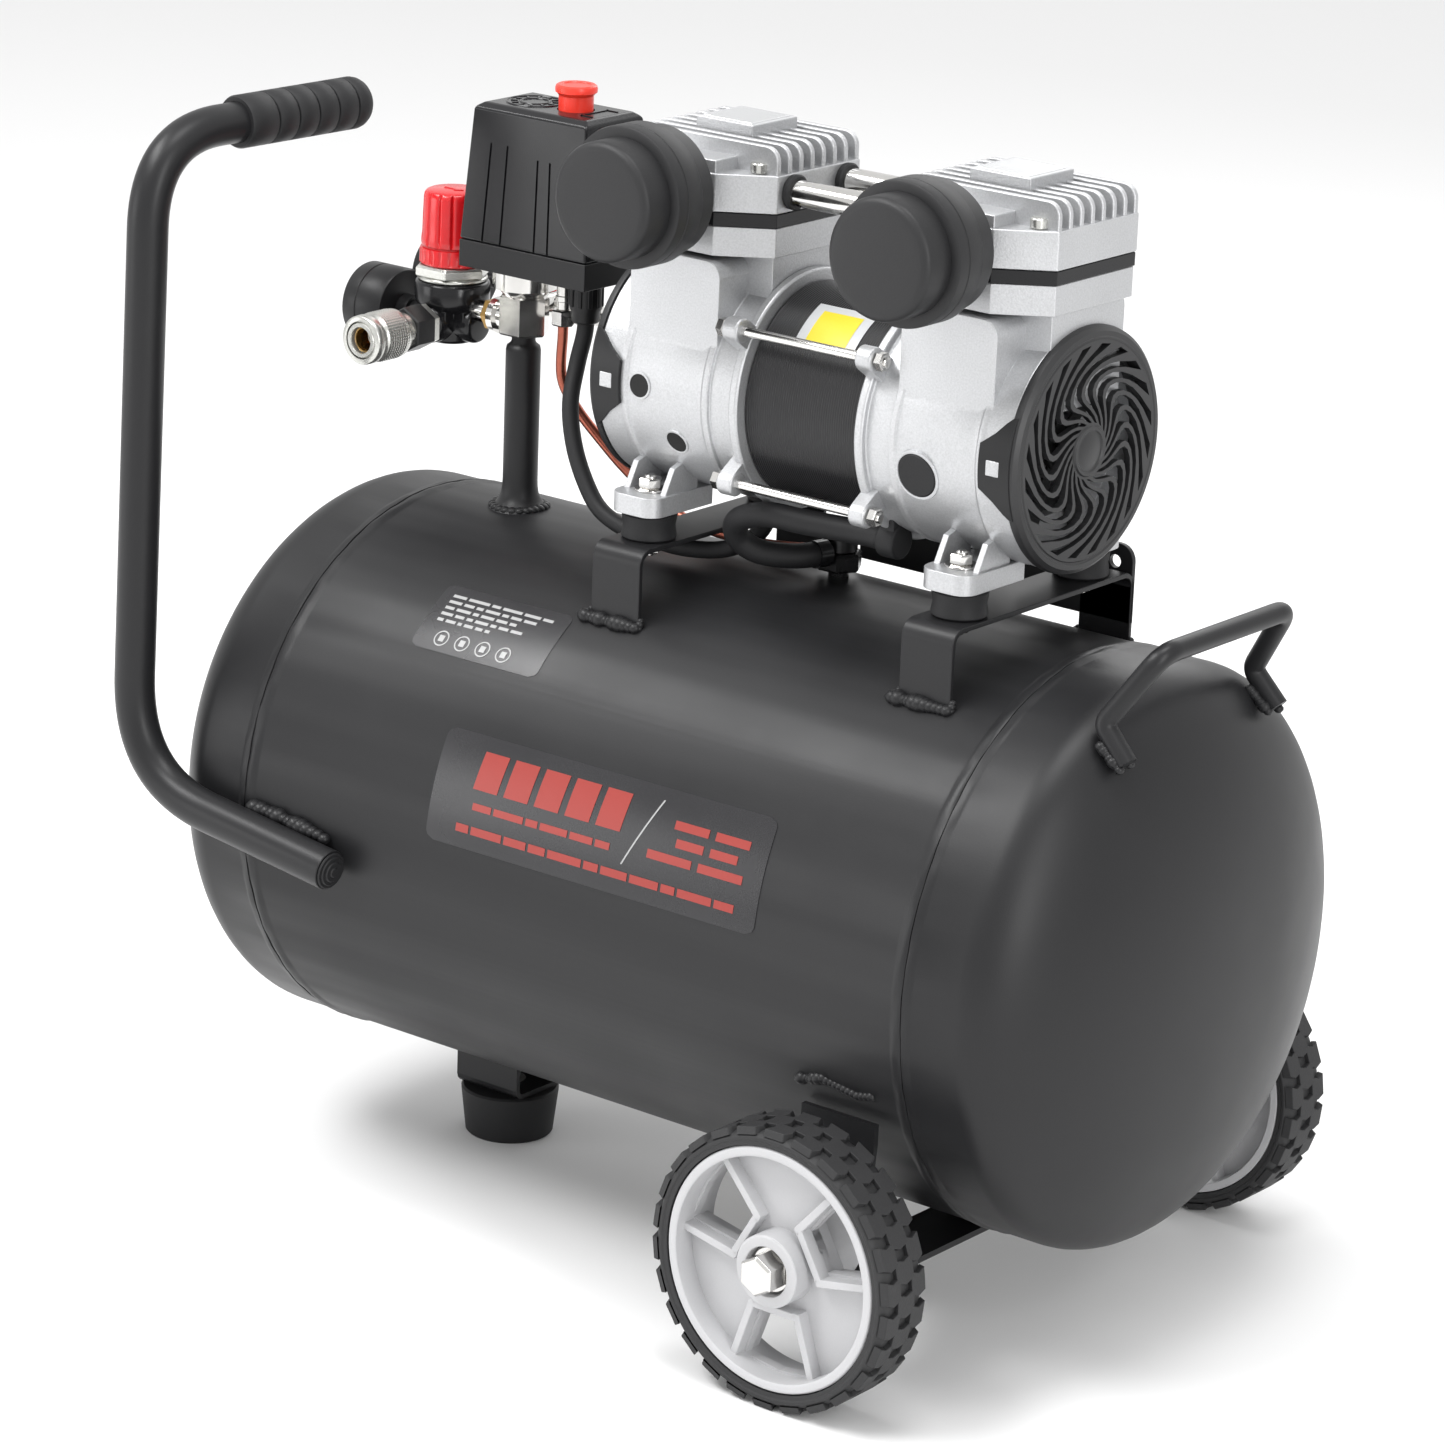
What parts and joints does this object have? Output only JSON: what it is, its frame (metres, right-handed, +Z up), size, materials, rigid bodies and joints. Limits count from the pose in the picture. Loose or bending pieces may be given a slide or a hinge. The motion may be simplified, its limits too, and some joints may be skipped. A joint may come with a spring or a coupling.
{
  "type": "air compressor",
  "caption": "Oil-free air compressor: motor between finned pump cylinders over a horizontal wheeled tank, with pressure switch, regulator, gauges, quick coupler and carry handle.",
  "frame": {"origin": "on the floor under the middle of the tank", "axes": "+X along the tank towards the wheels, -Y towards the side with the carry handle and the quick coupler, +Z up"},
  "size_m": [0.5624, 0.3774, 0.5526],
  "materials": {
    "tank_paint": "satin",
    "cast_aluminium": "matte",
    "bright_steel": "polished",
    "lamination": "satin",
    "brass": "satin",
    "copper": "satin",
    "black_plastic": "satin",
    "black_rubber": "matte",
    "tyre_rubber": "matte",
    "white_plastic": "satin",
    "red_plastic": "gloss",
    "needle_paint": "matte"
  },
  "bodies": {
    "compressor": {"tank_barrel": "tank_paint", "tank_head_left": "tank_paint", "tank_head_right": "tank_paint", "riser_pipe": "tank_paint", "pump_bracket_left": "tank_paint", "pump_bracket_right": "tank_paint", "foot_bracket": "tank_paint", "wheel_bracket": "tank_paint", "carry_handle": "tank_paint", "lift_handle": "tank_paint", "crankcase_left": "cast_aluminium", "crankcase_right": "cast_aluminium", "cylinder_head_left": "cast_aluminium", "cylinder_head_right": "cast_aluminium", "tie_rod_top_front": "bright_steel", "tie_rod_bottom_front": "bright_steel", "tie_rod_top_rear": "bright_steel", "tie_rod_bottom_rear": "bright_steel", "transfer_pipe_front": "bright_steel", "transfer_pipe_rear": "bright_steel", "axle_bolt_front": "bright_steel", "axle_bolt_rear": "bright_steel", "manifold": "bright_steel", "coupler_body": "bright_steel", "stator": "lamination", "check_valve": "brass", "unloader_tube": "copper", "fan_cover_left": "black_plastic", "fan_cover_right": "black_plastic", "air_filter_left": "black_plastic", "air_filter_right": "black_plastic", "switch_base": "black_plastic", "switch_cover": "black_plastic", "regulator_body": "black_plastic", "outlet_gauge": "black_plastic", "tank_gauge": "black_plastic", "handle_grip": "black_rubber", "rubber_foot": "black_rubber", "rubber_mount_left_front": "black_rubber", "rubber_mount_left_rear": "black_rubber", "rubber_mount_right_front": "black_rubber", "rubber_mount_right_rear": "black_rubber", "head_gasket_left": "black_rubber", "head_gasket_right": "black_rubber", "delivery_hose": "black_rubber", "power_lead": "black_rubber"},
    "wheel_front": {"wheel_rim_front": "white_plastic", "tyre_front": "tyre_rubber"},
    "wheel_rear": {"wheel_rim_rear": "white_plastic", "tyre_rear": "tyre_rubber"},
    "rotor": {"rotor_shaft": "bright_steel"},
    "piston_left": {"piston_left": "cast_aluminium"},
    "piston_right": {"piston_right": "cast_aluminium"},
    "button": {"switch_button": "red_plastic"},
    "regulator_knob": {"regulator_knob": "red_plastic"},
    "coupler_sleeve": {"coupler_sleeve": "bright_steel"},
    "outlet_needle": {"outlet_gauge_needle": "needle_paint"},
    "tank_needle": {"tank_gauge_needle": "needle_paint"},
    "safety_ring": {"safety_valve_ring": "bright_steel"},
    "drain_valve": {"drain_valve": "brass"}
  },
  "joints": [
    {"name": "wheel_front_spin", "type": "hinge", "parent": "compressor", "child": "wheel_front", "pos_m": [0.1613, -0.1644, 0.0678], "axis": [0, 1, 0], "continuous": true},
    {"name": "wheel_rear_spin", "type": "hinge", "parent": "compressor", "child": "wheel_rear", "pos_m": [0.1613, 0.1644, 0.0678], "axis": [0, 1, 0], "continuous": true},
    {"name": "rotor_spin", "type": "hinge", "parent": "compressor", "child": "rotor", "pos_m": [0.064, 0, 0.4224], "axis": [1, 0, 0], "continuous": true},
    {"name": "piston_left_stroke", "type": "slide", "parent": "compressor", "child": "piston_left", "axis": [0, 0, 1], "range_m": [-0.005, 0.005]},
    {"name": "piston_right_stroke", "type": "slide", "parent": "compressor", "child": "piston_right", "axis": [0, 0, 1], "range_m": [-0.005, 0.005]},
    {"name": "switch_button_push", "type": "slide", "parent": "compressor", "child": "button", "axis": [0, 0, 1], "range_m": [-0.006, 0]},
    {"name": "regulator_knob_turn", "type": "hinge", "parent": "compressor", "child": "regulator_knob", "pos_m": [-0.196, 0, 0.46], "axis": [0, 0, 1], "range_deg": [-720, 720]},
    {"name": "coupler_sleeve_pull", "type": "slide", "parent": "compressor", "child": "coupler_sleeve", "axis": [0, 1, 0], "range_m": [0, 0.005], "stiffness_N_per_m": 800},
    {"name": "outlet_gauge_needle_turn", "type": "hinge", "parent": "compressor", "child": "outlet_needle", "pos_m": [-0.252, 0, 0.4165], "axis": [1, 0, 0], "range_deg": [0, 270], "stiffness_Nm_per_rad": 0.0005},
    {"name": "tank_gauge_needle_turn", "type": "hinge", "parent": "compressor", "child": "tank_needle", "pos_m": [-0.241, 0.0395, 0.4284], "axis": [1, 0, 0], "range_deg": [0, 270], "stiffness_Nm_per_rad": 0.0005},
    {"name": "safety_valve_ring_pull", "type": "slide", "parent": "compressor", "child": "safety_ring", "axis": [1, 0, 0], "range_m": [0, 0.003], "stiffness_N_per_m": 600},
    {"name": "drain_valve_turn", "type": "hinge", "parent": "compressor", "child": "drain_valve", "pos_m": [0, 0, 0.04], "axis": [0, 0, 1], "range_deg": [0, 360]}
  ]
}
